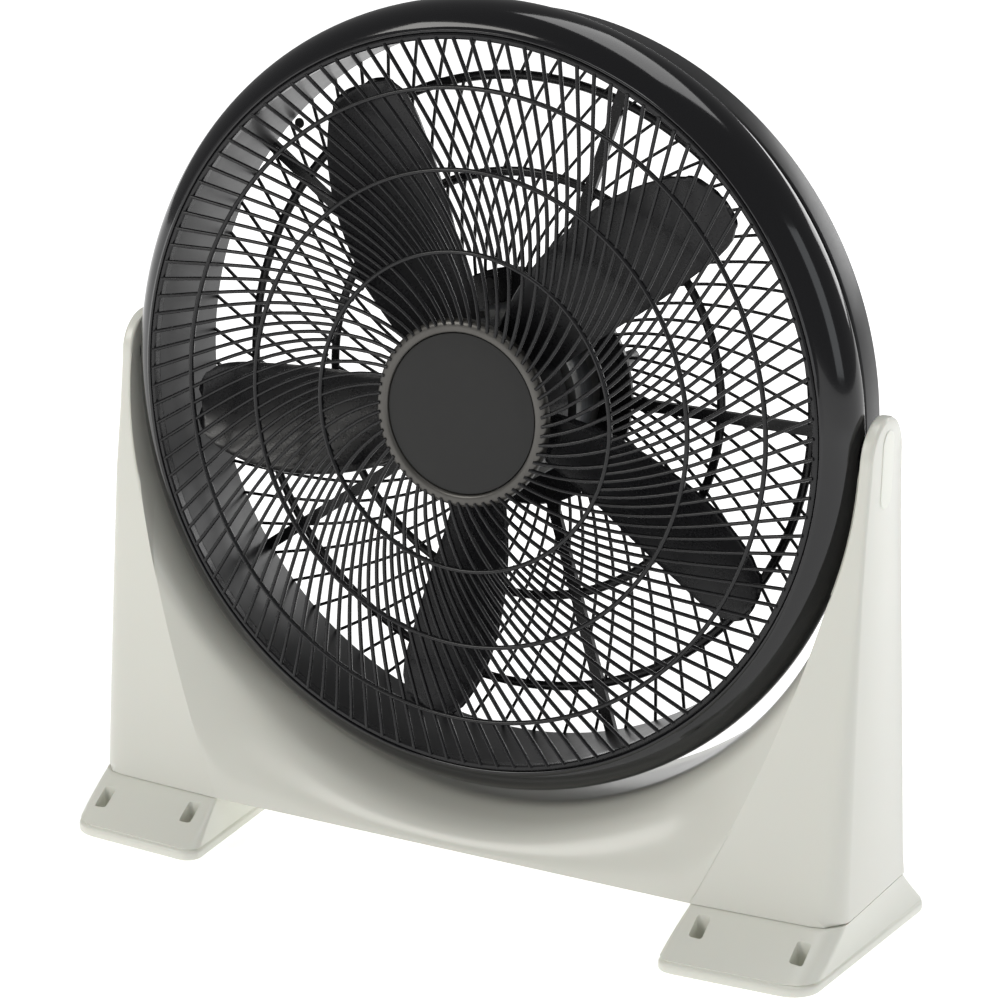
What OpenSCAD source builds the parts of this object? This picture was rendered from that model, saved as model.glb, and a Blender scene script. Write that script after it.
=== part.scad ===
// Box fan: a round fan head that tilts between the two arms of a U-shaped stand.
// X is right, Y is back and Z is up. The tilt axis is the line Y = 0, Z = head_z.
// Head parts are drawn around their own axis, with their local Z pointing to the front.

/* [Head] */
// Outer diameter of the front ring
ring_d = 562; // [460:2:680]
// Width of the front ring, from the grille to its outer edge
ring_w = 21; // [17:0.5:26]
// Distance from the tilt axis forward to the grille's rim
head_front = 40; // [34:0.5:50]
// Distance from the tilt axis back to the drum's rear edge
head_back = 44.5; // [38:0.5:54]
// Wall of the drum and of the front ring
drum_wall = 3; // [2.5:0.1:3.6]
// Number of ribs in the drum's outer channel
channel_ribs = 24; // [12:2:36]

/* [Grilles] */
// Number of spokes in each grille
spokes = 60; // [40:4:72]
// Width of a grille spoke
spoke_w = 2.2; // [1.8:0.1:2.7]
// Angle that a spoke turns through between the hub and the rim
spoke_sweep = 36; // [28:1:44]
// Diameter of the plain disc in the middle of the front grille
hub_disc_d = 115; // [95:1:138]
// Width of the trim ring around that disc
trim_w = 6.8; // [5.5:0.1:8.2]
// Distance between two rings of a grille
ring_pitch = 55.5; // [46:0.5:62]

/* [Fan and motor] */
// Number of fan blades
blades = 5; // [3:1:7]
// Gap between the blade tips and the drum
tip_gap = 20; // [16:0.5:24]
// Pitch of the blades
blade_pitch = 20; // [16:1:24]
// Diameter of the motor
motor_d = 124; // [104:1:132]
// Diameter of the motor shaft
shaft_d = 8; // [6.5:0.1:9.6]

/* [Stand] */
// Height of a foot, up to the seam with its leg
foot_h = 37; // [31:0.5:44]
// Depth of a foot, front to back
foot_depth = 206; // [190:1:246]
// Width of a foot
foot_w = 113; // [100:1:134]
// Height of the beam under the saddle
beam_h = 25; // [21:0.5:30]
// Radius of the arm's round top
arm_r = 29; // [25:0.5:34]
// Thickness of an arm at the tilt axis
arm_t = 9; // [8:0.1:10.8]
// Wall of the stand's mouldings
stand_wall = 3; // [2.5:0.1:3.6]

/* [Hidden] */
$fn = 48;

// Clearances
fit = 0.2;
running_fit = 0.05;
snug = 0.02;
gap = 0.4;

// Head radii
ring_r = ring_d / 2;
rim_r = ring_r - ring_w;
duct_r = rim_r - 3.5;
roll_r = ring_w + 8;
roll_z = head_front - roll_r * sin(72) + 0.1;
flange_r = ring_r - 10.5;
flange_t = 3;
channel_back = 17;
pivot_boss_r = 11;
pin_r = 5;

// Stand layout
saddle_r = ring_r + 3;
saddle_drop = 8;
head_z = foot_h + beam_h + saddle_drop + saddle_r;
arm_in = saddle_r;
arm_out = arm_in + arm_t;
leg_out = arm_out + 5;
leg_in_bottom = leg_out - foot_w + 6;
foot_half = foot_depth / 2;
leg_front = -foot_half + 43;
leg_back = foot_half - 33;
arm_z = head_z - arm_r - 14;
saddle_lip_y = leg_front + 53;
flare_r = saddle_r + 82;
face_angle = 3.5;
washer_r = 18.5;
foot_seat = foot_h - stand_wall - 0.5;

// Grille layout, as heights on the head's own axis
hub_r = hub_disc_d / 2;
trim_r = hub_r + trim_w;
hub_z = head_front + 8;
spoke_z = head_front + 1.3;
spoke_h = 3.4;
disc_t = 3;
rear_z = -head_back + 4.5;
rear_hub_r = 86;
strut_count = 5;
rear_ring_pitch = (duct_r - rear_hub_r) * 0.397;
front_ring_count = floor((rim_r - 8 - hub_r) / ring_pitch);

// Fan and motor layout
motor_r = motor_d / 2;
shaft_r = shaft_d / 2;
motor_back = rear_z + 2;
core_t = 18;
bell_back_t = 9;
core_back = motor_back + bell_back_t;
core_front = core_back + core_t;
motor_front = core_front + 10;
blade_r = duct_r - tip_gap;
impeller_hub_r = 58;
impeller_back = motor_front + 2;
impeller_front = impeller_back + 28;
gap_r = motor_r * 0.48;
slot_r = motor_r * 0.62;
bearing_r = shaft_r + 5;
cover_r = rear_hub_r - 4;
cover_back = rear_z - 38;
knob_r = 17;
knob_x = 0;
knob_y = 44;
head_screw_r = 1.9;
screw_head_r = 3.8;
rear_screw_count = 6;
rear_screw_r = duct_r - 4.2;
rear_screw_turn = 18;
ring_screw_r = ring_r - 12;
ring_screw_turn = 30;
cover_screw_r = rear_hub_r - 9;
mount_hole_r = 2.75;

function signs() = [-1, 1];
function ring_radius(i) = hub_r + i * ring_pitch;

// Puts children drawn around the head's own axis in place
module on_head() {
    translate([0, 0, head_z]) rotate([90, 0, 0]) children();
}

// Flat ring from z0 to z1
module tube(ro, ri, z0, z1) {
    translate([0, 0, z0]) difference() {
        cylinder(r = ro, h = z1 - z0, $fn = 96);
        translate([0, 0, -1]) cylinder(r = ri, h = z1 - z0 + 2, $fn = 96);
    }
}

// Children repeated n times around the head's own axis at radius r
module around(n, r, start = 0) {
    for (i = [0 : n - 1]) rotate([0, 0, start + i * 360 / n]) translate([r, 0, 0]) children();
}

// ---- Stand ----

// Side outline of a leg, thinned by inset on the front, top and bottom
module leg_side(inset, back) {
    polygon([
        [leg_front + inset, foot_h + inset],
        [back_y(foot_h + inset) + back, foot_h + inset],
        [arm_r + back, head_z],
        [-arm_r + inset, head_z]
    ]);
    translate([0, head_z]) circle(r = arm_r - inset);
}

// Front outline of both legs and the beam, before the saddle is cut
module stand_outline(inset) {
    polygon([
        [-leg_out + inset, foot_h],
        [leg_out - inset, foot_h],
        [arm_out - inset, arm_z],
        [arm_out - inset, head_z + arm_r + 1],
        [-arm_out + inset, head_z + arm_r + 1],
        [-arm_out + inset, arm_z]
    ]);
}

// Round saddle with a flared front edge, taken out of the stand
module saddle_cut(grow) {
    flare = flare_r - saddle_r;
    depth = saddle_lip_y - leg_front;
    translate([0, 0, head_z - saddle_drop]) rotate([90, 0, 0]) rotate_extrude($fn = 96)
        polygon(concat(
            [[0, -foot_depth], [saddle_r + grow, -foot_depth], [saddle_r + grow, -saddle_lip_y]],
            [for (a = [10 : 10 : 90])
                [saddle_r + grow + flare * (1 - cos(a)), -saddle_lip_y + (depth - grow) * sin(a)]],
            [[flare_r + grow, foot_depth], [0, foot_depth]]));
}

// Solid form of the legs and beam, thinned by inset and reaching back past the shell
module stand_form(inset, back) {
    difference() {
        intersection() {
            translate([-leg_out, 0, 0]) rotate([90, 0, 90]) linear_extrude(2 * leg_out)
                leg_side(inset, back);
            translate([0, foot_half, 0]) rotate([90, 0, 0]) linear_extrude(foot_depth)
                stand_outline(inset);
        }
        saddle_cut(inset);
        for (s = signs()) face_cut(s, inset);
    }
}

// Sets the outer part of a leg's front face back by a small angle
module face_cut(s, inset) {
    translate([s * leg_in_bottom, leg_front + inset, 0]) mirror([s < 0 ? 1 : 0, 0, 0])
        rotate([0, 0, face_angle]) translate([0, -foot_depth, foot_h - 1])
            cube([2 * foot_w, foot_depth, head_z - arm_r - foot_h]);
}

// Places of the screws that hold the rear cover, as [x, z]
cover_screw_x = leg_out - 26;
stand_screw_places = [
    [-cover_screw_x, foot_h + 34], [cover_screw_x, foot_h + 34],
    [-cover_screw_x, foot_h + 120], [cover_screw_x, foot_h + 120],
    [-60, foot_h + 11], [60, foot_h + 11]
];
back_slope = (leg_back - arm_r) / (head_z - foot_h);
function back_y(z) = leg_back - back_slope * (z - foot_h);

// Vertical screw places that hold a foot to its leg, as [distance from centre, y]
foot_screw_places = [[leg_out - 30, -24], [leg_out - 30, 40], [leg_out - 72, 10]];
leg_post_h = 22;

module stand_front_shell() color("gainsboro") difference() {
    union() {
        difference() {
            stand_form(0, 0);
            intersection() {
                stand_form(stand_wall, foot_half);
                translate([-leg_out, -foot_half, 0]) cube([2 * leg_out, foot_depth * 2, arm_z]);
            }
        }
        intersection() {
            stand_form(0.5, -stand_wall - 2 * gap);
            union() {
                for (p = stand_screw_places) translate([p[0], 0, p[1]]) rotate([-90, 0, 0])
                    translate([0, 0, -foot_half]) cylinder(r = 5, h = foot_depth);
                for (s = signs(), p = foot_screw_places) translate([s * p[0], p[1], foot_h])
                    cylinder(r = 5, h = leg_post_h);
            }
        }
    }
    for (p = stand_screw_places) translate([p[0], back_y(p[1]) - 26, p[1]]) rotate([-90, 0, 0])
        cylinder(r = head_screw_r, h = foot_depth);
    for (s = signs(), p = foot_screw_places) translate([s * p[0], p[1], foot_h - 1])
        cylinder(r = head_screw_r, h = leg_post_h - 2);
    for (s = signs()) pivot_bores(s);
}

// Washer seat, bore, pin-head pocket and cap recess in one arm
module pivot_bores(s) {
    translate([s * (arm_in - 2), 0, head_z]) rotate([0, s * 90, 0]) {
        translate([0, 0, -4]) cylinder(r = washer_r + gap, h = 6 + fit);
        cylinder(r = pin_r + 3, h = arm_t);
        translate([0, 0, arm_t - 2.5]) cylinder(r = 9, h = arm_t);
        translate([0, 0, arm_t]) mirror([s < 0 ? 1 : 0, 0, 0]) cap_form(gap / 2, arm_t);
    }
}

// Stadium outline of a pivot cap, drawn on the arm's outer face
module cap_form(grow, h) {
    for (end = [-1, 1]) translate([end < 0 ? -10 : 26, 0, 0]) cylinder(r = 10 + grow, h = h);
    translate([-10, -10 - grow, 0]) cube([36, 20 + 2 * grow, h]);
}

module pivot_cap(s) color("whitesmoke") translate([s * (arm_out - 2), 0, head_z])
    rotate([0, s * 90, 0]) mirror([s < 0 ? 1 : 0, 0, 0]) cap_form(0, 2);

module pivot_bush(s) color("dimgray") translate([s * arm_in, 0, head_z]) rotate([0, s * 90, 0])
    tube(pin_r + 3 - snug, pin_r + running_fit, 0, arm_t - 4.5);

module pivot_pin(s) color("silver") translate([s * (arm_in - 18), 0, head_z])
    rotate([0, s * 90, 0]) {
        cylinder(r = pin_r, h = 18 + arm_t - 4.4);
        translate([0, 0, 18 + arm_t - 4.45]) cylinder(r = 8.5, h = 2);
    }

module pivot_washer(s) color("black") translate([s * (arm_in - 2.6), 0, head_z])
    rotate([0, s * 90, 0]) tube(washer_r, pin_r + running_fit, 0, 2.4);

// Thin back wall of the stand, set into the shell
module stand_rear_cover() color("lightgray") difference() {
    intersection() {
        difference() {
            stand_form(stand_wall + gap, stand_wall);
            translate([0, -stand_wall - gap, 0]) stand_form(stand_wall / 2, 0);
        }
        translate([-leg_out, -foot_half, foot_h + stand_wall + gap])
            cube([2 * leg_out, foot_depth, arm_z - foot_h - stand_wall - 2 * gap]);
        translate([0, 0.1, 0]) stand_form(stand_wall + gap, 0);
    }
    for (p = stand_screw_places) translate([p[0], 0, p[1]]) rotate([-90, 0, 0])
        cylinder(r = head_screw_r + fit, h = foot_half);
    gland_place() cylinder(r = 6 + fit, h = 40, center = true);
}

module stand_screws() color("silver") {
    head_lift = screw_head_r * back_slope + gap;
    for (p = stand_screw_places) translate([p[0], back_y(p[1]), p[1]]) rotate([-90, 0, 0]) {
        translate([0, 0, -22]) cylinder(r = head_screw_r - snug, h = 22.5 + head_lift);
        translate([0, 0, head_lift]) cylinder(r = screw_head_r, h = 2);
    }
}

module gland_place() {
    translate([150, back_y(foot_h + 40), foot_h + 40]) rotate([atan(back_slope) - 90, 0, 0])
        children();
}

module cord_gland() color("black") gland_place() {
    tube(6, 3.5, -6, 5);
    tube(9, 5, 1.2, 4);
}

// ---- Feet ----

// Side outline of a foot: a wedge in front, a flat seat under the leg, a wedge behind
module foot_side(inset) {
    polygon([
        [-foot_half + inset, 1.5],
        [-foot_half + inset, 9 - inset / 2],
        [-foot_half + 2 + inset, 10.5 - inset / 2],
        [leg_front, foot_h - inset],
        [leg_back, foot_h - inset],
        [foot_half - 2 - inset, 10.5 - inset / 2],
        [foot_half - inset, 9 - inset / 2],
        [foot_half - inset, 1.5]
    ]);
}

// Plan of the right foot, splayed a little towards the back
module foot_plan(inset) {
    inner = leg_out - foot_w - 2;
    polygon([
        [inner + inset, -foot_half + inset + 6],
        [inner + 6 + inset, -foot_half + inset],
        [leg_out - 14 - inset, -foot_half + inset + 5],
        [leg_out - 4 - inset, -foot_half + inset + 15],
        [leg_out + 7 - inset, foot_half - inset - 14],
        [leg_out - 4 - inset, foot_half - inset],
        [inner + 24 + inset, foot_half - inset],
        [inner + 16 + inset, foot_half - inset - 8]
    ]);
}

module foot_form(inset) {
    intersection() {
        linear_extrude(foot_h) foot_plan(inset);
        rotate([90, 0, 90]) linear_extrude(2 * leg_out) foot_side(inset);
    }
}

// Pocket places on the front slope, as distance from the centre
pocket_x = [leg_out - 93, leg_out - 19];
pocket_y = -foot_half + 30;
pocket_size = [10, 16];
pad_places = [[leg_out - 56, -foot_half + 22], [leg_out - 46, foot_half - 14]];
pad_r = 8;

module right_foot_form() difference() {
    union() {
        difference() {
            foot_form(0);
            translate([0, 0, -0.5]) foot_form(stand_wall);
        }
        intersection() {
            foot_form(0);
            union() {
                for (x = pocket_x) translate([x - pocket_size[0] / 2 - 2, pocket_y - 10, 1.5])
                    cube([pocket_size[0] + 4, 20, foot_h]);
                for (p = pad_places) translate([p[0], p[1], 1.5]) cylinder(r = pad_r + 2, h = foot_h);
            }
        }
    }
    for (x = pocket_x) {
        translate([x - pocket_size[0] / 2, pocket_y - pocket_size[1] / 2, 6])
            cube([pocket_size[0], pocket_size[1], foot_h]);
        translate([x, pocket_y, -1]) cylinder(r = mount_hole_r, h = 10);
    }
    for (p = pad_places) translate([p[0], p[1], -1]) cylinder(r = pad_r + fit, h = 5);
    for (p = foot_screw_places) translate([p[0], p[1], 0])
        cylinder(r = head_screw_r + fit, h = foot_h + 1);
}

module right_foot() color("whitesmoke") right_foot_form();

module left_foot() color("whitesmoke") mirror([1, 0, 0]) right_foot_form();

module foot_pads() color("dimgray")
    for (s = signs(), p = pad_places) translate([s * p[0], p[1], 0])
        cylinder(r = pad_r, h = 4);

module foot_screws() color("silver")
    for (s = signs(), p = foot_screw_places) translate([s * p[0], p[1], 0]) {
        translate([0, 0, foot_seat - 1]) cylinder(r = head_screw_r - snug, h = 16);
        translate([0, 0, foot_seat - 2.3]) cylinder(r = screw_head_r, h = 2.2);
    }

// ---- Head shell ----

// Glossy rolled ring around the grille
module front_ring() color("black") on_head() difference() {
    union() {
        rotate_extrude($fn = 96) polygon(concat(
            [for (a = [0 : 9 : 72]) [ring_r - roll_r + roll_r * cos(a), roll_z + roll_r * sin(a)]],
            [for (a = [72 : -9 : 0]) [ring_r - roll_r + (roll_r - drum_wall) * cos(a),
                roll_z + (roll_r - drum_wall) * sin(a)]]));
        around(rear_screw_count, ring_screw_r, ring_screw_turn) translate([0, 0, roll_z])
            cylinder(r = 4, h = roll_r * 0.62);
    }
    around(rear_screw_count, ring_screw_r, ring_screw_turn) translate([0, 0, roll_z - 1])
        cylinder(r = head_screw_r, h = roll_r * 0.5);
}

module drum_shell() color("dimgray") on_head() difference() {
    union() {
        tube(duct_r + drum_wall, duct_r, -head_back, roll_z + ring_w);
        tube(ring_r, duct_r + 1, roll_z - flange_t, roll_z);
        tube(flange_r, duct_r + 1, -channel_back - flange_t, -channel_back);
        tube(flange_r, flange_r - drum_wall, -head_back, -channel_back);
        around(channel_ribs, duct_r + 2, 180 / channel_ribs)
            translate([0, -1, -channel_back - 1]) cube([9, 2, channel_back + roll_z - 1]);
        for (s = signs()) rotate([0, s * 90, 0]) translate([0, 0, duct_r + 1])
            cylinder(r = pivot_boss_r, h = arm_in - 2.7 - duct_r - 1);
        around(rear_screw_count, rear_screw_r, rear_screw_turn) translate([0, 0, rear_z + fit])
            cylinder(r = 5, h = 12);
    }
    for (s = signs()) rotate([0, s * 90, 0]) translate([0, 0, arm_in - 18])
        cylinder(r = pin_r + snug, h = 18);
    around(rear_screw_count, ring_screw_r, ring_screw_turn) translate([0, 0, roll_z - flange_t - 1])
        cylinder(r = head_screw_r + fit, h = flange_t + 2);
    around(rear_screw_count, rear_screw_r, rear_screw_turn) translate([0, 0, rear_z - 1])
        cylinder(r = head_screw_r, h = 11);
}

module ring_screws() color("silver") on_head() around(rear_screw_count, ring_screw_r, ring_screw_turn) {
    translate([0, 0, roll_z - flange_t - 0.5]) cylinder(r = head_screw_r - snug, h = 14);
    translate([0, 0, roll_z - flange_t - 2.5]) cylinder(r = screw_head_r, h = 2.5);
}

// ---- Grilles ----

// One curved spoke from radius r0 to r1, turning through sweep, centred on its own height
module spoke(r0, r1, sweep, h) {
    end = [r1 * cos(sweep), r1 * sin(sweep)];
    chord = norm(end - [r0, 0]);
    heading = atan2(end[1], end[0] - r0);
    turn = sweep < 0 ? 1 : 0;
    rise = chord * 0.13;
    bend_r = (chord * chord / 4 + rise * rise) / (2 * rise);
    half = asin(chord / 2 / bend_r);
    translate([r0, 0, 0]) rotate([0, 0, heading]) mirror([0, turn, 0])
        translate([chord / 2, bend_r - rise, 0]) rotate([0, 0, -90 - half])
            rotate_extrude(angle = 2 * half, $fn = 60)
                translate([bend_r - spoke_w / 2, -h / 2]) square([spoke_w, h]);
}

module front_grille() color("black") on_head() {
    translate([0, 0, hub_z - 5]) cylinder(r = hub_r - fit, h = 5, $fn = 96);
    tube(trim_r + 2, hub_r - 1, hub_z - 5, hub_z - 1);
    tube(trim_r + 2, trim_r - 2, spoke_z - spoke_h / 2 - 0.6, hub_z - 1.2);
    for (i = [1 : front_ring_count]) tube(ring_radius(i) + 1.6, ring_radius(i) - 1.6,
        spoke_z - spoke_h / 2 - 0.6, spoke_z + spoke_h / 2 + 0.6);
    tube(rim_r - fit, rim_r - 4.5, head_front - 5.5, head_front);
    for (i = [0 : spokes - 1]) rotate([0, 0, i * 360 / spokes])
        translate([0, 0, spoke_z]) spoke(trim_r, rim_r - 2.5, spoke_sweep, spoke_h);
}

module hub_disc() color("darkslategray") on_head() translate([0, 0, hub_z])
    cylinder(r = hub_r - fit, h = disc_t, $fn = 96);

module hub_trim_ring() color("gray") on_head()
    tube(trim_r, hub_r, hub_z - 0.9, hub_z + disc_t + 1);

module rear_grille() color("black") on_head() difference() {
    union() {
        tube(duct_r - fit, duct_r - 6, rear_z - 4, rear_z);
        tube(rear_hub_r, rear_hub_r - 8, rear_z - 5, rear_z);
        tube(rear_hub_r - 1, motor_r * 0.3, rear_z - 3, rear_z);
        for (i = [1 : 2]) tube(rear_hub_r + i * rear_ring_pitch + 2,
            rear_hub_r + i * rear_ring_pitch - 2, rear_z - 4, rear_z);
        for (i = [0 : spokes - 1]) rotate([0, 0, i * 360 / spokes]) translate([0, 0, rear_z - 2])
            spoke(rear_hub_r - 1, duct_r - 3, -spoke_sweep * 0.6, 3);
        around(strut_count, rear_hub_r - 2) translate([0, -4, rear_z - 4.5])
            cube([duct_r - rear_hub_r - 1, 8, 4.5]);
        around(rear_screw_count, rear_screw_r, rear_screw_turn) translate([0, 0, rear_z - 4])
            cylinder(r = 3.9, h = 4);
    }
    around(rear_screw_count, rear_screw_r, rear_screw_turn) translate([0, 0, rear_z - 6])
        cylinder(r = head_screw_r + fit, h = 8);
    around(4, motor_r - 8, 45) translate([0, 0, rear_z - 6]) cylinder(r = head_screw_r + fit, h = 8);
    around(4, cover_screw_r, 20) translate([0, 0, rear_z - 6])
        cylinder(r = head_screw_r + fit, h = 8);
}

module grille_screws() color("silver") on_head()
    around(rear_screw_count, rear_screw_r, rear_screw_turn) {
        translate([0, 0, rear_z - 4.5]) cylinder(r = head_screw_r - snug, h = 13);
        translate([0, 0, rear_z - 6.6]) cylinder(r = screw_head_r, h = 2.5);
    }

// ---- Motor ----

module motor_front_bell() color("darkgray") on_head() difference() {
    translate([0, 0, core_front + fit]) cylinder(r = motor_r, h = motor_front - core_front - 2);
    translate([0, 0, core_front - 1]) cylinder(r = motor_r - 6, h = motor_front - core_front - 3);
    translate([0, 0, core_front - 1]) cylinder(r = bearing_r, h = 30);
    around(4, motor_r - 8, 45) translate([0, 0, core_front - 1])
        cylinder(r = head_screw_r, h = 7);
}

module motor_rear_bell() color("darkgray") on_head() difference() {
    union() {
        tube(motor_r, motor_r - 5, rear_z + fit, core_back - fit);
        translate([0, 0, rear_z + fit]) cylinder(r = motor_r - 1, h = 2.5);
        around(4, motor_r - 8, 45) translate([0, 0, rear_z + fit])
            cylinder(r = 4, h = core_back - rear_z - 2 * fit);
        translate([0, 0, rear_z + fit]) cylinder(r = bearing_r + 3, h = 7);
    }
    translate([0, 0, rear_z - 1]) cylinder(r = bearing_r, h = 30);
    around(4, motor_r - 8, 45) translate([0, 0, rear_z - 1])
        cylinder(r = head_screw_r + fit, h = 30);
}

module stator_core() color("lightsteelblue") on_head() difference() {
    translate([0, 0, core_back]) cylinder(r = motor_r, h = core_t);
    translate([0, 0, core_back - 1]) cylinder(r = gap_r, h = core_t + 2);
    around(12, slot_r) translate([0, 0, core_back - 1]) cylinder(r = 4.2, h = core_t + 2);
    around(4, motor_r - 8, 45) translate([0, 0, core_back - 1])
        cylinder(r = head_screw_r + fit, h = core_t + 2);
}

module stator_windings() color("peru") on_head() {
    around(12, slot_r) translate([0, 0, core_back - 3]) cylinder(r = 4, h = core_t + 6);
    tube(slot_r + 4.5, slot_r - 4.5, core_back - 5, core_back - 0.5);
    tube(slot_r + 4.5, slot_r - 4.5, core_front + 0.5, core_front + 5);
}

module bearing(z) {
    tube(bearing_r - snug, shaft_r + running_fit, z, z + 6);
}

module front_bearing() color("goldenrod") on_head() bearing(motor_front - 7.5);

module rear_bearing() color("goldenrod") on_head() bearing(rear_z + 1);

module motor_screws() color("silver") on_head() around(4, motor_r - 8, 45) {
    translate([0, 0, rear_z - 3.5])
        cylinder(r = head_screw_r - snug, h = core_front - rear_z + 8);
    translate([0, 0, rear_z - 5.5]) cylinder(r = screw_head_r, h = 2.5);
}

module motor_shaft() color("lightgray") on_head() translate([0, 0, rear_z + 0.5])
    cylinder(r = shaft_r, h = impeller_front + 3 - rear_z);

module rotor_core() color("slategray") on_head() difference() {
    translate([0, 0, core_back + 0.5]) cylinder(r = gap_r - gap, h = core_t - 1);
    translate([0, 0, core_back - 1]) cylinder(r = shaft_r + snug, h = core_t + 2);
}

// ---- Fan ----

// Blade outline, as [radius, leading angle, trailing angle]
blade_outline = [[0.2, -14, 42], [0.42, -12, 32], [0.6, -10, 26], [0.78, -9, 20],
    [0.9, -8, 14], [0.97, -6, 9], [1, -3, 6]];

module impeller() color("black") on_head() difference() {
    union() {
        difference() {
            translate([0, 0, impeller_back])
                cylinder(r1 = impeller_hub_r, r2 = impeller_hub_r - 6,
                    h = impeller_front - impeller_back, $fn = 96);
            translate([0, 0, impeller_back - 1])
                cylinder(r = impeller_hub_r - 10, h = impeller_front - impeller_back - 3);
        }
        translate([0, 0, impeller_back]) cylinder(r = shaft_r + 5, h = impeller_front - impeller_back);
        intersection() {
            for (i = [0 : blades - 1]) rotate([0, 0, 44 + i * 360 / blades])
                translate([0, 0, (impeller_back + impeller_front) / 2]) rotate([blade_pitch, 0, 0])
                    linear_extrude(2.6, center = true) polygon(concat(
                        [for (p = blade_outline) p[0] * blade_r * [cos(p[1]), sin(p[1])]],
                        [for (i = [len(blade_outline) - 1 : -1 : 0]) blade_outline[i][0] * blade_r
                            * [cos(blade_outline[i][2]), sin(blade_outline[i][2])]]));
            tube(blade_r, impeller_hub_r - 8, core_back, impeller_front + 20);
        }
    }
    translate([0, 0, impeller_back - 1]) cylinder(r = shaft_r + snug, h = 60);
}

module blade_nut() color("dimgray") on_head() difference() {
    translate([0, 0, impeller_front + fit]) cylinder(r1 = 14, r2 = 11, h = 5);
    translate([0, 0, impeller_front - 1]) cylinder(r = shaft_r + snug, h = 4.5);
}

// ---- Rear cover and controls ----

module motor_rear_cover() color("dimgray") on_head() difference() {
    union() {
        difference() {
            translate([0, 0, cover_back]) cylinder(r1 = cover_r - 14, r2 = cover_r, h = 26, $fn = 96);
            translate([0, 0, cover_back + 3])
                cylinder(r1 = cover_r - 17, r2 = cover_r - 3, h = 26, $fn = 96);
        }
        tube(cover_r, cover_r - 3, cover_back + 26, rear_z - 5.2);
        intersection() {
            translate([0, 0, cover_back]) cylinder(r = cover_r, h = rear_z - 5.2 - cover_back);
            around(4, cover_screw_r, 20) translate([0, 0, cover_back + 8])
                cylinder(r = 5, h = rear_z - 5.2 - cover_back - 8);
        }
    }
    around(4, cover_screw_r, 20) translate([0, 0, cover_back + 12]) cylinder(r = head_screw_r, h = 40);
    translate([knob_x, knob_y, cover_back - 1]) cylinder(r = 3.5 + running_fit, h = 8);
    for (i = [-4 : 4]) translate([-28, i * 5 - 18, cover_back - 1]) cube([56, 2, 8]);
}

module cover_screws() color("silver") on_head() around(4, cover_screw_r, 20) {
    translate([0, 0, rear_z - 15]) cylinder(r = head_screw_r - snug, h = 15.2);
    translate([0, 0, rear_z]) cylinder(r = screw_head_r, h = 2);
}

module run_capacitor() color("whitesmoke") on_head()
    translate([-40, -46, cover_back + 5]) cube([36, 20, 22]);

module speed_switch() color("ivory") on_head() difference() {
    translate([knob_x - 15, knob_y - 12, cover_back + 3.2]) cube([30, 24, 16]);
    translate([knob_x, knob_y, cover_back]) cylinder(r = 3 + running_fit, h = 12);
}

module speed_knob() color("black") on_head() {
    translate([knob_x, knob_y, cover_back - 14]) cylinder(r1 = knob_r - 2, r2 = knob_r, h = 13.5);
    translate([knob_x - 2.5, knob_y - knob_r + 2, cover_back - 17]) cube([5, 2 * knob_r - 4, 5]);
    translate([knob_x, knob_y, cover_back - 2]) cylinder(r = 3, h = 12);
}

stand_front_shell();
stand_rear_cover();
left_foot();
right_foot();
foot_pads();
foot_screws();
stand_screws();
cord_gland();
pivot_bush(-1);  // left_pivot_bush
pivot_bush(1);  // right_pivot_bush
pivot_cap(-1);  // left_pivot_cap
pivot_cap(1);  // right_pivot_cap
pivot_pin(-1);  // left_pivot_pin
pivot_pin(1);  // right_pivot_pin
pivot_washer(-1);  // left_pivot_washer
pivot_washer(1);  // right_pivot_washer
front_ring();
drum_shell();
ring_screws();
front_grille();
hub_disc();
hub_trim_ring();
rear_grille();
grille_screws();
motor_front_bell();
motor_rear_bell();
stator_core();
stator_windings();
front_bearing();
rear_bearing();
motor_screws();
motor_rear_cover();
cover_screws();
run_capacitor();
speed_switch();
motor_shaft();
rotor_core();
impeller();
blade_nut();
speed_knob();
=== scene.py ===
import math

import bmesh
import bpy
from mathutils import Matrix, Vector


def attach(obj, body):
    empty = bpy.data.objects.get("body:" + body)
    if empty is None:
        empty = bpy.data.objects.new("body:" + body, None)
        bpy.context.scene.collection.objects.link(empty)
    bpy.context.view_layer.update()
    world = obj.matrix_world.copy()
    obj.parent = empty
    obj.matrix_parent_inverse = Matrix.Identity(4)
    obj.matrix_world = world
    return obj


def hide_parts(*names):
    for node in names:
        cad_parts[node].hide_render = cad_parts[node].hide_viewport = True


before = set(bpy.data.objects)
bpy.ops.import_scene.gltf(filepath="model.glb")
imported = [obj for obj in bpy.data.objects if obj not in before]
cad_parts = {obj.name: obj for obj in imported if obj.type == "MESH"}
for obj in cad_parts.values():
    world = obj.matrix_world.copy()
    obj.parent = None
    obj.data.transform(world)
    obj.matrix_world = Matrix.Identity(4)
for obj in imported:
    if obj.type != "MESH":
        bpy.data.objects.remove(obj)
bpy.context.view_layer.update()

# ---- Camera ----
# A long lens, a little above the fan and to its right, level but for a slight roll.
LENS_MM = 122.2
SENSOR_MM = 36.0
CAMERA_PLACE = (1.052, -2.045, 0.9424)
CAMERA_AZIMUTH = math.radians(27.09)
CAMERA_PITCH = math.radians(16.06)
CAMERA_ROLL = math.radians(1.58)

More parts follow.
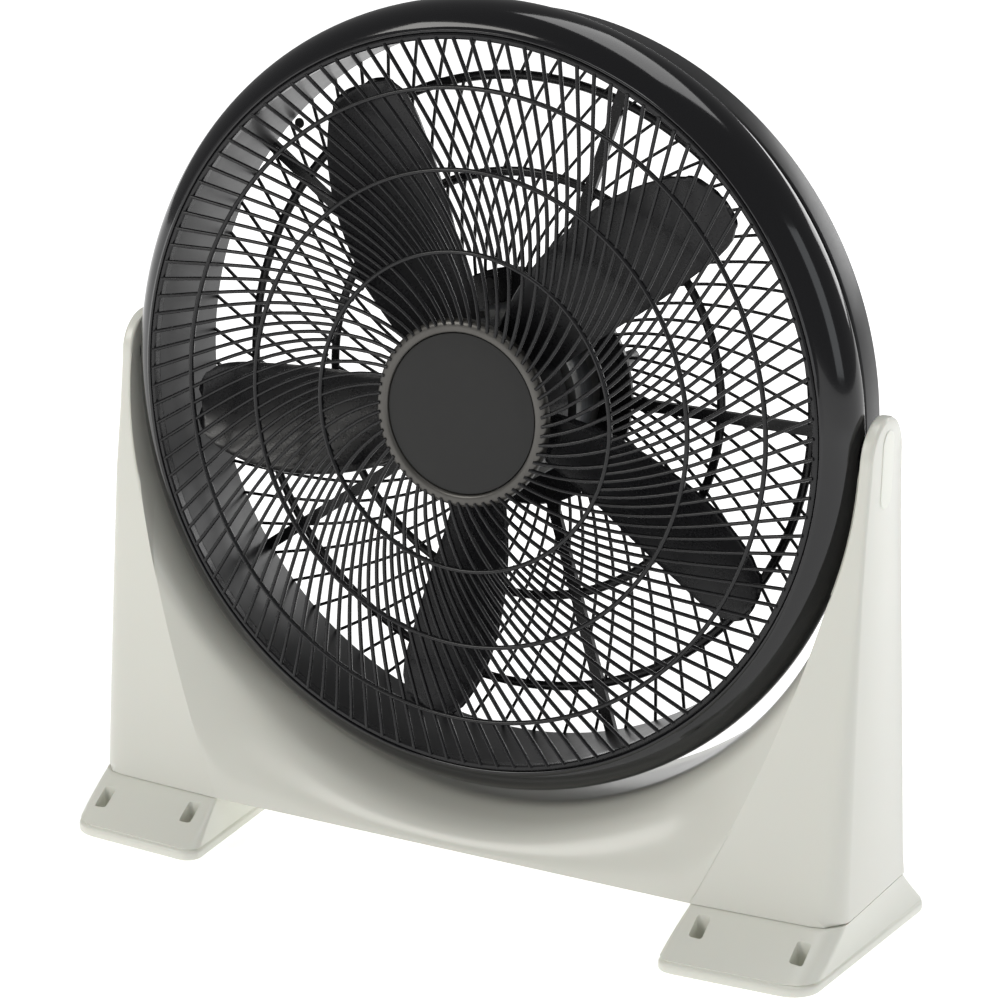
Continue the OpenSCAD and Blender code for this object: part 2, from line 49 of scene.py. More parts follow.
camera_back = Vector((
    math.sin(CAMERA_AZIMUTH) * math.cos(CAMERA_PITCH),
    -math.cos(CAMERA_AZIMUTH) * math.cos(CAMERA_PITCH),
    math.sin(CAMERA_PITCH),
))
camera_right = Vector((math.cos(CAMERA_AZIMUTH), math.sin(CAMERA_AZIMUTH), 0))
camera_up = camera_back.cross(camera_right)
rolled_right = camera_right * math.cos(CAMERA_ROLL) + camera_up * math.sin(CAMERA_ROLL)
rolled_up = camera_up * math.cos(CAMERA_ROLL) - camera_right * math.sin(CAMERA_ROLL)
camera_turn = Matrix((rolled_right, rolled_up, camera_back)).transposed()
camera_data = bpy.data.cameras.new("camera")
camera_data.lens = LENS_MM
camera_data.sensor_width = SENSOR_MM
camera_data.clip_start = 0.05
camera_data.clip_end = 200
camera = bpy.data.objects.new("camera", camera_data)
camera.matrix_world = Matrix.Translation(CAMERA_PLACE) @ camera_turn.to_4x4()
bpy.context.collection.objects.link(camera)
bpy.context.scene.camera = camera
bpy.context.scene.view_settings.view_transform = "Standard"

# ---- Studio ----
# A plain white floor that glows more with distance, as a lit sweep does, and large soft lamps.
FLOOR_HALF = 60.0
GLOW_NEAR = 0.55
GLOW_FAR = 1.0
GLOW_FROM = 0.3
GLOW_TO = 2.2
WORLD_STRENGTH = 0.22
KEY_COLOUR = (1.0, 0.985, 0.95)
SIDE_COLOUR = (0.93, 0.97, 1.0)


class Wire:
    """One socket of a node tree, which Python arithmetic can work on."""

    def __init__(self, bench, socket):
        self.bench = bench
        self.socket = socket

    def math(self, operation, *values):
        numbered = dict(enumerate(values))
        return self.bench.node("ShaderNodeMath", numbered, operation=operation)

    def __add__(self, other):
        return self.math("ADD", self, other)

    def __radd__(self, other):
        return self.math("ADD", other, self)

    def __sub__(self, other):
        return self.math("SUBTRACT", self, other)

    def __rsub__(self, other):
        return self.math("SUBTRACT", other, self)

    def __mul__(self, other):
        return self.math("MULTIPLY", self, other)

    def __rmul__(self, other):
        return self.math("MULTIPLY", other, self)

    def __truediv__(self, other):
        return self.math("DIVIDE", self, other)

    def __pow__(self, other):
        return self.math("POWER", self, other)


class Bench:
    """A node tree, and the one way in which a node is put into it."""

    def __init__(self, tree):
        self.tree = tree

    def node(self, kind, inputs=None, output=0, stops=None, **settings):
        made = self.tree.nodes.new(kind)
        for key, value in settings.items():
            setattr(made, key, value)
        if stops:
            ramp = made.color_ramp
            for element, (place, level) in zip(ramp.elements, stops):
                element.position = place
                element.color = (level, level, level, 1)
        for key, value in (inputs or {}).items():
            socket = made.inputs[key]
            if isinstance(value, Wire):
                self.tree.links.new(value.socket, socket)
            else:
                socket.default_value = value
        return Wire(self, made.outputs[output])


def finish(name, light, dark, rough, grain, relief, patch=9.0, spread=0.06, stretch=(1, 1, 1), **fixed):
    """A moulded, cast or rolled surface: two close tints in soft patches, a fine grain, uneven gloss."""
    material = bpy.data.materials.new(name)
    material.use_nodes = True
    bench = Bench(material.node_tree)
    shader = material.node_tree.nodes["Principled BSDF"]
    for key, value in fixed.items():
        shader.inputs[key.replace("_", " ")].default_value = value
    place = bench.node("ShaderNodeTexCoord", output="Object")
    pulled = bench.node("ShaderNodeMapping", {"Vector": place, "Scale": stretch})
    patches = bench.node("ShaderNodeTexNoise", {"Vector": pulled, "Scale": patch, "Detail": 3.0})
    fine = bench.node("ShaderNodeTexNoise", {"Vector": pulled, "Scale": grain, "Detail": 4.0})
    wipe = bench.node("ShaderNodeTexNoise", {"Vector": pulled, "Scale": patch * 7, "Detail": 5.0})
    soft = bench.node("ShaderNodeValToRGB", {"Fac": patches}, stops=((0.36, 0.0), (0.64, 1.0)))
    mixer = bench.node("ShaderNodeMix", {"Factor": soft * 0.7 + fine * 0.3}, data_type="RGBA").socket.node
    low, high = [socket for socket in mixer.inputs if socket.type == "RGBA"]
    low.default_value = (*dark, 1)
    high.default_value = (*light, 1)
    tint = [socket for socket in mixer.outputs if socket.type == "RGBA"][0]
    material.node_tree.links.new(tint, shader.inputs["Base Color"])
    gloss = rough + (wipe - 0.5) * spread + (fine - 0.5) * spread
    material.node_tree.links.new(gloss.socket, shader.inputs["Roughness"])
    bump = bench.node("ShaderNodeBump", {"Height": fine, "Distance": relief, "Strength": 0.6})
    material.node_tree.links.new(bump.socket, shader.inputs["Normal"])
    return material


floor_mesh = bpy.data.meshes.new("floor")
corners = [(x * FLOOR_HALF, y * FLOOR_HALF, 0) for x, y in ((-1, -1), (1, -1), (1, 1), (-1, 1))]
floor_mesh.from_pydata(corners, [], [(0, 1, 2, 3)])
floor = bpy.data.objects.new("floor", floor_mesh)
bpy.context.collection.objects.link(floor)
floor_paint = finish(
    "white_floor", (0.93, 0.93, 0.93), (0.91, 0.91, 0.91), 0.6, 40.0, 0.0001,
    Emission_Strength=1.0,
)
floor_bench = Bench(floor_paint.node_tree)
floor_place = floor_bench.node("ShaderNodeTexCoord", output="Object")
away = floor_bench.node("ShaderNodeVectorMath", {0: floor_place}, output="Value", operation="LENGTH")
glow = floor_bench.node("ShaderNodeMapRange", {
    "Value": away, "From Min": GLOW_FROM, "From Max": GLOW_TO, "To Min": GLOW_NEAR, "To Max": GLOW_FAR,
})
floor_paint.node_tree.links.new(
    glow.socket, floor_paint.node_tree.nodes["Principled BSDF"].inputs["Emission Color"]
)
floor_mesh.materials.append(floor_paint)

world = bpy.data.worlds.new("studio")
bpy.context.scene.world = world
world.use_nodes = True
world.node_tree.nodes["Background"].inputs["Color"].default_value = (1, 1, 1, 1)
world.node_tree.nodes["Background"].inputs["Strength"].default_value = WORLD_STRENGTH


def lamp(name, place, aim, size, watts, colour):
    data = bpy.data.lights.new(name, "AREA")
    data.shape = "RECTANGLE"
    data.size, data.size_y = size
    data.energy = watts
    data.color = colour
    made = bpy.data.objects.new(name, data)
    made.location = place
    made.rotation_euler = (Vector(place) - Vector(aim)).to_track_quat("Z", "Y").to_euler()
    bpy.context.collection.objects.link(made)


lamp("key_lamp", (-1.9, -2.4, 2.3), (0, 0, 0.35), (1.5, 1.5), 44, KEY_COLOUR)
lamp("side_lamp", (2.6, -0.4, 1.3), (0.1, 0, 0.3), (0.9, 1.6), 7, SIDE_COLOUR)
lamp("top_lamp", (0.2, 0.3, 2.6), (0, 0, 0.3), (1.6, 1.2), 22, (1, 1, 1))
lamp("back_lamp", (0.9, 2.2, 1.0), (0, 0, 0.25), (1.4, 0.8), 14, (1, 1, 1))

# ---- Stand shell ----
# One hollow moulding of light grey plastic: two legs, a beam that rolls back into a round saddle
# for the head, and two flat tongues at the top that carry the pivots.
MM = 0.001
HEAD_Z = 354.0
SADDLE_R = 284.0
SADDLE_Z = 346.0
RIM_Y = -7.0
FOOT_TOP = 37.0
TONGUE_R = 29.0
TONGUE_OUT = 293.0
LEG_OUT = 298.0
LEG_FRONT = -60.0
LEG_BACK = 70.0
CREASE_IN = 191.0
STATION_REACH = 440.0
LEG_RISE = HEAD_Z - FOOT_TOP

shell_plastic = finish(
    "stand_plastic", (0.70, 0.70, 0.635), (0.675, 0.677, 0.615), 0.30, 900.0, 0.00002,
    patch=5.0, spread=0.05, Coat_Weight=0.12, Coat_Roughness=0.12, Subsurface_Weight=0.04,
    Subsurface_Scale=0.004,
)


def link_mesh(name, points, faces, material, sharp=35.0, merge=0.00001):
    """A mesh object of points in millimetres, merged, turned outwards and shaded smooth up to an angle."""
    mesh = bpy.data.meshes.new(name)
    mesh.from_pydata([Vector(p) * MM for p in points], [], faces)
    tidy = bmesh.new()
    tidy.from_mesh(mesh)
    bmesh.ops.remove_doubles(tidy, verts=tidy.verts, dist=merge)
    bmesh.ops.dissolve_degenerate(tidy, edges=tidy.edges, dist=merge)
    bmesh.ops.recalc_face_normals(tidy, faces=tidy.faces)
    tidy.to_mesh(mesh)
    tidy.free()
    mesh.shade_smooth()
    mesh.set_sharp_from_angle(angle=math.radians(sharp))
    mesh.materials.append(material)
    made = bpy.data.objects.new(name, mesh)
    bpy.context.collection.objects.link(made)
    return made


def ease(count):
    """Steps from 0 to 1 that crowd together at both ends."""
    return [(1 - math.cos(math.pi * k / count)) / 2 for k in range(count + 1)]


def crease_x(z):
    return SADDLE_R - (SADDLE_R - CREASE_IN) * (max(HEAD_Z - z, 0) / LEG_RISE) ** 1.6


def outer_x(z):
    return LEG_OUT + (TONGUE_OUT - LEG_OUT) * min((z - FOOT_TOP) / 274, 1)


def lean(start, z):
    """Front or back plane of the legs, from its place at the foot to the tongue."""
    end = math.copysign(TONGUE_R, start)
    return start + (end - start) * min((z - FOOT_TOP) / LEG_RISE, 1)


def soft_less(a, b, width):
    h = max(width - abs(a - b), 0) / width
    return min(a, b) - h * h * width / 4


def roll_out(distance, radius):
    """How far a rounded edge has fallen at a distance inside its end."""
    short = max(radius - distance, 0)
    return radius - math.sqrt(max(radius * radius - short * short, 0))


def front_y(x, z, from_rim, bearing):
    """Front surface of the legs and beam at a place seen from the front."""
    face = lean(LEG_FRONT, z)
    inside = crease_x(z) - x
    if inside <= 0:
        surface = face + 0.061 * -inside
    else:
        slope = 0.34 + 0.5 * (z - FOOT_TOP) / LEG_RISE
        wall = face + slope * inside
        width = min((SADDLE_Z - FOOT_TOP) / math.cos(bearing) - SADDLE_R, 135)
        left = 1 - min(from_rim / width, 1)
        bowl = RIM_Y + (LEG_FRONT - RIM_Y) * math.sqrt(1 - left ** 2)
        surface = soft_less(wall, bowl, 9) if z > FOOT_TOP + 0.1 else min(wall, bowl)
        surface = max(surface, face - 0.5)
        lip = min(from_rim / 12, 1)
        surface = RIM_Y + (surface - RIM_Y) * math.sqrt(1 - (1 - lip) ** 2)
    corner = 3 + 17 * (1 - min((z - FOOT_TOP) / 230, 1))
    return surface + roll_out(outer_x(z) - x, corner)


def saddle_station(bearing, side):
    """Ring of points round the shell's wall at one bearing from straight down."""
    way = (math.sin(bearing), -math.cos(bearing))

    def at(r):
        return r * way[0], SADDLE_Z + r * way[1]

    bottom = (SADDLE_Z - FOOT_TOP) / max(math.cos(bearing), 1e-6)
    low, high = SADDLE_R, min(bottom, STATION_REACH)
    for _ in range(40):
        middle = (low + high) / 2
        x, z = at(middle)
        low, high = (middle, high) if x < outer_x(z) else (low, middle)
    edge_r = min(low, bottom)
    low, high = SADDLE_R, edge_r
    for _ in range(40):
        middle = (low + high) / 2
        x, z = at(middle)
        low, high = (middle, high) if x < crease_x(z) else (low, middle)
    crease_r = low
    ring = []
    for t in ease(20):
        r = SADDLE_R + (crease_r - SADDLE_R) * t
        x, z = at(r)
        ring.append((x, front_y(x, z, r - SADDLE_R, bearing), z))
    for t in ease(16)[1:]:
        r = crease_r + (edge_r - crease_r) * t
        x, z = at(r)
        y = front_y(x, z, r - SADDLE_R, bearing)
        if crease_r - SADDLE_R < 3:
            y += roll_out(r - SADDLE_R, 2)
        ring.append((x, y, z))
    recess = 4 if bearing < math.radians(78) else 0
    soft = 3 if at(edge_r)[1] > FOOT_TOP + 6 else 0.6
    turned = [(edge_r, soft), (edge_r - 0.3 * soft, 0.3 * soft), (edge_r - soft, 0)]
    turned += [(edge_r - soft - 0.3, 0), (edge_r - soft - 0.3, recess)]
    turned += [(SADDLE_R + 3.3, recess), (SADDLE_R + 3.3, 0), (SADDLE_R + 2, 0), (SADDLE_R + 0.6, 0.6)]
    turned += [(SADDLE_R, 2)]
    for r, inset in turned:
        x, z = at(r)
        ring.append((x, lean(LEG_BACK, z) - inset, z))
    ring.append((ring[0][0], 10, ring[0][2]))
    return [(side * x, y, z) for x, y, z in ring]


def tongue_station(turn, side):
    """Ring of points round a tongue, at a turn up its rounded end."""
    inner, outer = SADDLE_R, TONGUE_OUT

    def rim(x, inset, sign):
        reach = TONGUE_R - inset
        return (x, sign * reach * math.cos(turn), HEAD_Z + reach * math.sin(turn))

    ring = [rim(inner, 2, -1)] * 21
    for t in ease(16)[1:]:
        x = inner + (outer - inner) * t
        ring.append(rim(x, roll_out(outer - x, 3) + roll_out(x - inner, 2), -1))
    turned = [(outer, 3), (outer - 0.9, 0.9), (outer - 3, 0), (outer - 3.3, 0), (outer - 3.3, 0)]
    turned += [(inner + 3.3, 0), (inner + 3.3, 0), (inner + 2, 0), (inner + 0.6, 0.6), (inner, 2)]
    ring += [rim(x, inset, 1) for x, inset in turned]
    ring.append((inner, 0, HEAD_Z + (TONGUE_R - 2) * math.sin(turn) ))
    return [(side * x, y, z) for x, y, z in ring]


leg_corner = math.atan2(CREASE_IN, SADDLE_Z - FOOT_TOP)
outer_corner = math.atan2(LEG_OUT, SADDLE_Z - FOOT_TOP)
bearings = [leg_corner * k / 16 for k in range(16)]
bearings += [leg_corner + (outer_corner - leg_corner) * k / 12 for k in range(12)]
bearings += [outer_corner + (math.pi / 2 - outer_corner) * k / 34 for k in range(35)]
tongue_turns = [math.pi / 2 * k / 14 for k in range(15)]
stations = [tongue_station(t, -1) for t in reversed(tongue_turns)]
stations += [saddle_station(b, -1) for b in reversed(bearings)]
stations += [saddle_station(b, 1) for b in bearings[1:]]
stations += [tongue_station(t, 1) for t in tongue_turns]


def loft(name, rings, material, close_ends=False, **how):
    """A skin over rings that have the same number of points."""
    count = len(rings[0])
    points = [p for ring in rings for p in ring]
    faces = []
    for k in range(len(rings) - 1):
        for j in range(count):
            n = (j + 1) % count
            faces.append((k * count + j, k * count + n, (k + 1) * count + n, (k + 1) * count + j))
    if close_ends:
        faces.append(tuple(range(count)))
        faces.append(tuple(len(points) - 1 - j for j in range(count)))
    return link_mesh(name, points, faces, material, **how)


stand = loft("stand_shell", stations, shell_plastic, sharp=28.0)
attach(stand, "stand")
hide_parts("stand_front_shell")

# ---- Feet ----
# Each foot is its own moulding under a leg: a low slope at the front and the back, an outer skirt
# that sweeps in to the leg, and two open screw pockets in the front slope.
FOOT_HALF = 103.0
FOOT_EDGE = 8.6
FOOT_IN = 183.0
POCKET_X = (205.0, 279.0)
POCKET_Y = -73.0
POCKET_SIZE = (10.0, 16.0)
POCKET_FLOOR = 6.0
SEAM = 0.5

foot_plastic = finish(
    "foot_plastic", (0.79, 0.795, 0.72), (0.765, 0.77, 0.70), 0.34, 800.0, 0.00002,
    patch=7.0, spread=0.05, Coat_Weight=0.08, Coat_Roughness=0.15, Subsurface_Weight=0.04,
    Subsurface_Scale=0.004,
)


def rounded_quad(corners, radii, steps, z):
    """Outline of a four-sided shape with its own radius at each corner."""
    points = []
    for k in range(4):
        here = Vector(corners[k])
        before = (Vector(corners[k - 1]) - here).normalized()
        after = (Vector(corners[(k + 1) % 4]) - here).normalized()
        half = before.angle(after) / 2
        set_back = radii[k] / math.tan(half)
        centre = here + (before + after).normalized() * (radii[k] / math.sin(half))
        first = (here + before * set_back - centre).normalized()
        last = (here + after * set_back - centre).normalized()
        for j in range(steps + 1):
            arm = first.slerp(last, j / steps) * radii[k]
            points.append((centre.x + arm.x, centre.y + arm.y, z))
    return points


def foot_outline(z, inset=0.0):
    """Outline of the right foot at a height."""
    rise = min(max((z - FOOT_EDGE) / (FOOT_TOP - FOOT_EDGE), 0), 1)
    skirt = (1 - rise) ** 2.4
    front = -FOOT_HALF + (FOOT_HALF + LEG_FRONT) * rise + inset
    back = FOOT_HALF - (FOOT_HALF - LEG_BACK) * rise - inset
    inner_front = FOOT_IN + 8 * rise + inset
    inner_back = FOOT_IN + 20 - 12 * rise + inset
    outer_front = LEG_OUT - 3 * skirt - inset
    outer_back = LEG_OUT + 8 * skirt - inset
    corners = [
        (inner_front, front),
        (outer_front, front + 6.6),
        (outer_back, back),
        (inner_back, back),
    ]
    radii = (4 + 7 * skirt, 20 + 2 * skirt, 5 + 9 * skirt, 4 + 7 * skirt)
    return rounded_quad(corners, radii, 8, z)


foot_rings = [foot_outline(z, inset) for z, inset in (
    (1.5, 3.0), (1.5, 1.2), (2.0, 0.35), (3.0, 0.0), (6.6, 0.0), (7.7, 0.2), (8.5, 0.8), (9.3, 1.5),
)]
foot_rings += [
    foot_outline(FOOT_EDGE + (FOOT_TOP - SEAM - FOOT_EDGE) * (0.06 + 0.94 * k / 16)) for k in range(17)
]


def box_piece(name, low, high, material):
    corners = [(x, y, z) for x in (low[0], high[0]) for y in (low[1], high[1]) for z in (low[2], high[2])]
    faces = [(0, 1, 3, 2), (4, 6, 7, 5), (0, 4, 5, 1), (2, 3, 7, 6), (0, 2, 6, 4), (1, 5, 7, 3)]
    return link_mesh(name, corners, faces, material)


def settle(piece):
    """Turns a piece's modifiers into plain mesh."""
    graph = bpy.context.evaluated_depsgraph_get()
    mesh = bpy.data.meshes.new_from_object(piece.evaluated_get(graph), depsgraph=graph)
    piece.modifiers.clear()
    piece.data = mesh
    return piece


def cut_away(piece, cutters):
    """Takes the cutters out of a piece and throws them away."""
    for cutter in cutters:
        step = piece.modifiers.new("cut", "BOOLEAN")
        step.operation = "DIFFERENCE"
        step.solver = "EXACT"
        step.object = cutter
        settle(piece)
        bpy.data.objects.remove(cutter)
    return piece


for side, foot_node in ((1, "right_foot"), (-1, "left_foot")):
    rings = [[(side * x, y, z) for x, y, z in ring] for ring in foot_rings]
    foot = loft(foot_node + "_moulding", rings, foot_plastic, close_ends=True, sharp=40.0)
    cutters = []
    for x in POCKET_X:
        low = [side * x - POCKET_SIZE[0] / 2, POCKET_Y - POCKET_SIZE[1] / 2, POCKET_FLOOR]
        high = [side * x + POCKET_SIZE[0] / 2, POCKET_Y + POCKET_SIZE[1] / 2, FOOT_TOP + 5]
        cutter = box_piece("pocket_cutter", low, high, foot_plastic)
        round_off = cutter.modifiers.new("round", "BEVEL")
        round_off.width = 2.2 * MM
        round_off.segments = 3
        cutters.append(settle(cutter))
    cut_away(foot, cutters)
    foot.data.shade_smooth()
    foot.data.set_sharp_from_angle(angle=math.radians(40))
    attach(foot, "stand")
    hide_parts(foot_node)

# ---- Front ring ----
# A glossy black ring rolled round the edge of the grille, held to the drum from behind.
RIM_R = 260.0
RING_R = 281.0
ROLL_R = 29.0
ROLL_Y = -12.5

ring_gloss = finish(
    "glossy_black", (0.007, 0.007, 0.008), (0.005, 0.005, 0.006), 0.11, 700.0, 0.000006,
    patch=6.0, spread=0.06, Coat_Weight=0.25, Coat_Roughness=0.04, Specular_IOR_Level=0.35,
)


def lathe(name, profile, material, centre=(0.0, HEAD_Z), steps=192, axis="Y", **how):
    """A ring or disc: a profile of (radius, place along the axis) points turned round the axis."""
    rings = []
    for k in range(steps + 1):
        turn = 2 * math.pi * (k % steps) / steps
        if axis == "Y":
            rings.append([
                (centre[0] + r * math.cos(turn), along, centre[1] + r * math.sin(turn))
                for r, along in profile
            ])
        else:
            rings.append([
                (along, centre[0] + r * math.cos(turn), centre[1] + r * math.sin(turn))
                for r, along in profile
            ])
    return loft(name, rings, material, **how)


def arc(centre_r, centre_y, radius, start, end, steps):
    """Points of a profile on an arc, with angles in degrees from outwards towards the front."""
    turns = [math.radians(start + (end - start) * k / steps) for k in range(steps + 1)]
    return [(centre_r + radius * math.cos(t), centre_y - radius * math.sin(t)) for t in turns]


ring_profile = arc(RIM_R + 1.2, -39.6, 1.3, 200, 60, 6)
ring_profile += arc(RING_R - ROLL_R, ROLL_Y, ROLL_R, 68, 3, 22)
ring_profile += arc(RING_R - 1.4, ROLL_Y + 1.4, 1.4, 0, -90, 4)
ring_profile += [(RING_R - 6, ROLL_Y + 2.8), (RING_R - 6, ROLL_Y)]
ring_profile += arc(RING_R - ROLL_R, ROLL_Y, ROLL_R - 3, 6, 66, 10)
front_ring = lathe("front_bezel", ring_profile, ring_gloss, sharp=32.0)
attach(front_ring, "head")
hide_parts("front_ring")

# ---- Drum ----
# The deep black tube that the fan turns in, with a flange behind the ring, a channel crossed by
# short ribs, and a wide band at the back. The two bosses on its sides that take the pivot pins are not
# drawn.
DUCT_R = 256.5
WALL = 3.0
BAND_R = 270.5
HEAD_BACK = 44.5
CHANNEL_BACK = 17.0
CHANNEL_RIBS = 24
DRUM_STEPS = 240

drum_plastic = finish(
    "drum_black", (0.016, 0.016, 0.017), (0.011, 0.011, 0.012), 0.36, 600.0, 0.00001,
    patch=8.0, spread=0.10, Coat_Weight=0.05, Coat_Roughness=0.12, Specular_IOR_Level=0.3,
)
drum_profile = [(DUCT_R, -33), (DUCT_R + WALL, -33), (DUCT_R + WALL, ROLL_Y)]
drum_profile += [(RING_R - 7, ROLL_Y), (RING_R - 7, ROLL_Y + WALL), (DUCT_R + WALL + 1, ROLL_Y + WALL)]
drum_profile += arc(DUCT_R + WALL + 2, CHANNEL_BACK - 2, 2, 180, 270, 4)
drum_profile += arc(BAND_R - 2, CHANNEL_BACK + 2, 2, 90, 0, 4)
drum_profile += arc(BAND_R - 3.5, HEAD_BACK - 3.5, 3.5, 0, -90, 6)
drum_profile += arc(DUCT_R + 2.5, HEAD_BACK - 2.5, 2.5, -90, -180, 4)
drum = lathe("drum_tube", drum_profile, drum_plastic, steps=DRUM_STEPS, sharp=32.0)
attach(drum, "head")
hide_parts("drum_shell")


def grow(name, tree, body, values, source=None, sharp=40.0):
    """Runs a geometry tree with its inputs set by identifier and keeps the result as a plain mesh."""
    seed_mesh = source or bpy.data.meshes.new(name + "_seed")
    piece = bpy.data.objects.new(name, seed_mesh)
    bpy.context.collection.objects.link(piece)
    step = piece.modifiers.new("grow", "NODES")
    step.node_group = tree
    for item in tree.interface.items_tree:
        if item.in_out == "INPUT" and item.name in values:
            step[item.identifier] = values[item.name]
    settle(piece)
    piece.data.shade_smooth()
    piece.data.set_sharp_from_angle(angle=math.radians(sharp))
    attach(piece, body)
    return piece


def new_tree(name, inputs):
    """An empty geometry tree with named inputs, its bench and its input wires."""
    tree = bpy.data.node_groups.new(name, "GeometryNodeTree")
    tree.interface.new_socket("Geometry", in_out="OUTPUT", socket_type="NodeSocketGeometry")
    for label, kind, value in inputs:
        socket = tree.interface.new_socket(label, in_out="INPUT", socket_type="NodeSocket" + kind)
        if value is not None:
            socket.default_value = value
    bench = Bench(tree)
    entry = tree.nodes.new("NodeGroupInput")
    wires = {label: Wire(bench, entry.outputs[label]) for label, kind, value in inputs}
    return tree, bench, wires


def end_tree(bench, shape, paint):
    """Turns what was drawn round Z to face the front, at the head's height, and gives it its material."""
    exit_node = bench.tree.nodes.new("NodeGroupOutput")
    turned = bench.node(
        "GeometryNodeTransform",
        {"Geometry": shape, "Translation": (0, 0, HEAD_Z * MM), "Rotation": (math.pi / 2, 0, 0)},
    )
    painted = bench.node("GeometryNodeSetMaterial", {"Geometry": turned, "Material": paint})
    bench.tree.links.new(painted.socket, exit_node.inputs[0])


def spread_round(bench, shape, count, start, radius):
    """Copies of a shape round the axis."""
    dots = bench.node("GeometryNodePoints", {"Count": count})
    index = bench.node("GeometryNodeInputIndex")
    angle = index / count * (2 * math.pi) + start
    turn = bench.node("ShaderNodeCombineXYZ", {"Z": angle})
    out = bench.node(
        "ShaderNodeCombineXYZ",
        {"X": radius * angle.math("COSINE", angle), "Y": radius * angle.math("SINE", angle)},
    )
    placed = bench.node("GeometryNodeSetPosition", {"Geometry": dots, "Position": out})
    copies = bench.node(
        "GeometryNodeInstanceOnPoints", {"Points": placed, "Instance": shape, "Rotation": turn}
    )
    return bench.node("GeometryNodeRealizeInstances", {"Geometry": copies})


rib_tree, bench, wires = new_tree("channel_ribs", [
    ("Count", "Int", CHANNEL_RIBS),
    ("Start", "Float", math.pi / CHANNEL_RIBS),
    ("Radius", "Float", (DUCT_R + WALL + 4.2) * MM),
    ("Width", "Float", 2.0 * MM),
    ("Reach", "Float", 9.0 * MM),
    ("Length", "Float", (CHANNEL_BACK - ROLL_Y - WALL + 1) * MM),
    ("Middle", "Float", -(CHANNEL_BACK + ROLL_Y + WALL) / 2 * MM),
    ("Material", "Material", drum_plastic),
])
rib_size = bench.node(
    "ShaderNodeCombineXYZ", {"X": wires["Reach"], "Y": wires["Width"], "Z": wires["Length"]}
)
rib_box = bench.node("GeometryNodeMeshCube", {"Size": rib_size})
rib_lift = bench.node("ShaderNodeCombineXYZ", {"Z": wires["Middle"]})
rib_up = bench.node("GeometryNodeTransform", {"Geometry": rib_box, "Translation": rib_lift})
ribs_all = spread_round(bench, rib_up, wires["Count"], wires["Start"], wires["Radius"])
end_tree(bench, ribs_all, wires["Material"])
grow("drum_ribs", rib_tree, "head", {})

# ---- Front grille ----
# Thin black moulded bars that swirl out from the hub over a shallow dome, doubled beyond the first
# ring, with three rings across them and a rim ring that sits in the glossy ring.
HUB_R = 57.5
TRIM_R = 64.3
RING_PITCH = 55.5
BARS = 60
BAR_SWEEP = math.radians(37)
FRONT_Y = -41.2
DOME = 10.8

grille_plastic = finish(
    "grille_black", (0.012, 0.012, 0.013), (0.008, 0.008, 0.009), 0.26, 700.0, 0.000006,
    patch=12.0, spread=0.10, Coat_Weight=0.08, Coat_Roughness=0.1, Specular_IOR_Level=0.3,
)

bar_tree, bench, wires = new_tree("swirled_bars", [
    ("Count", "Int", BARS),
    ("Start", "Float", 0.0),
    ("Inner Radius", "Float", (TRIM_R - 1.5) * MM),
    ("Outer Radius", "Float", (RIM_R - 3) * MM),
    ("From", "Float", 0.0),
    ("Sweep", "Float", BAR_SWEEP),
    ("Curl", "Float", 0.56),
    ("Height", "Float", -FRONT_Y * MM),
    ("Dome", "Float", DOME * MM),
    ("Points", "Int", 22),
    ("Width", "Float", 2.7 * MM),
    ("Depth", "Float", 3.8 * MM),
    ("Material", "Material", grille_plastic),
])
stick = bench.node("GeometryNodeCurvePrimitiveLine", {"End": (1, 0, 0)})
stick = bench.node("GeometryNodeResampleCurve", {"Curve": stick, "Count": wires["Points"]})
along = wires["From"] + bench.node("GeometryNodeSplineParameter") * (1 - wires["From"])
reach = wires["Inner Radius"] + along * (wires["Outer Radius"] - wires["Inner Radius"])
swing = wires["Sweep"] * along * (1 + wires["Curl"] - wires["Curl"] * along)
lift = wires["Height"] + wires["Dome"] * (1 - along) ** 1.35
bar_place = bench.node("ShaderNodeCombineXYZ", {
    "X": reach * swing.math("COSINE", swing),
    "Y": reach * swing.math("SINE", swing),
    "Z": lift,
})
bar_line = bench.node("GeometryNodeSetPosition", {"Geometry": stick, "Position": bar_place})
bar_line = bench.node("GeometryNodeSetCurveNormal", {"Curve": bar_line}, mode="Z_UP")
bar_round = bench.node("GeometryNodeCurvePrimitiveCircle", {"Resolution": 8, "Radius": 0.5})
bar_scale = bench.node("ShaderNodeCombineXYZ", {"X": wires["Width"], "Y": wires["Depth"], "Z": 1.0})
bar_round = bench.node("GeometryNodeTransform", {"Geometry": bar_round, "Scale": bar_scale})
bar_skin = bench.node(
    "GeometryNodeCurveToMesh", {"Curve": bar_line, "Profile Curve": bar_round, "Fill Caps": True}
)
bars_all = spread_round(bench, bar_skin, wires["Count"], wires["Start"], 0.0)
end_tree(bench, bars_all, wires["Material"])

front_bars = grow("front_grille_bars", bar_tree, "head", {}, sharp=80)
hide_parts("front_grille")
first_ring = (HUB_R + RING_PITCH - TRIM_R) / (RIM_R - TRIM_R)
grow("front_grille_half_bars", bar_tree, "head", {
    "Start": math.pi / BARS,
    "From": first_ring,
}, sharp=80)


def front_height(r):
    left = 1 - (r - TRIM_R) / (RIM_R - TRIM_R)
    return FRONT_Y - DOME * max(left, 0) ** 1.35


def hoop(name, r, y, half_width, half_depth, body="head", paint=None):
    """One ring of a grille, with an oval section."""
    section = [(r + half_width * math.cos(t), y - half_depth * math.sin(t))
               for t in (math.radians(36 * k) for k in range(10))]
    made = lathe(name, section, paint or grille_plastic, sharp=60.0)
    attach(made, body)
    return made


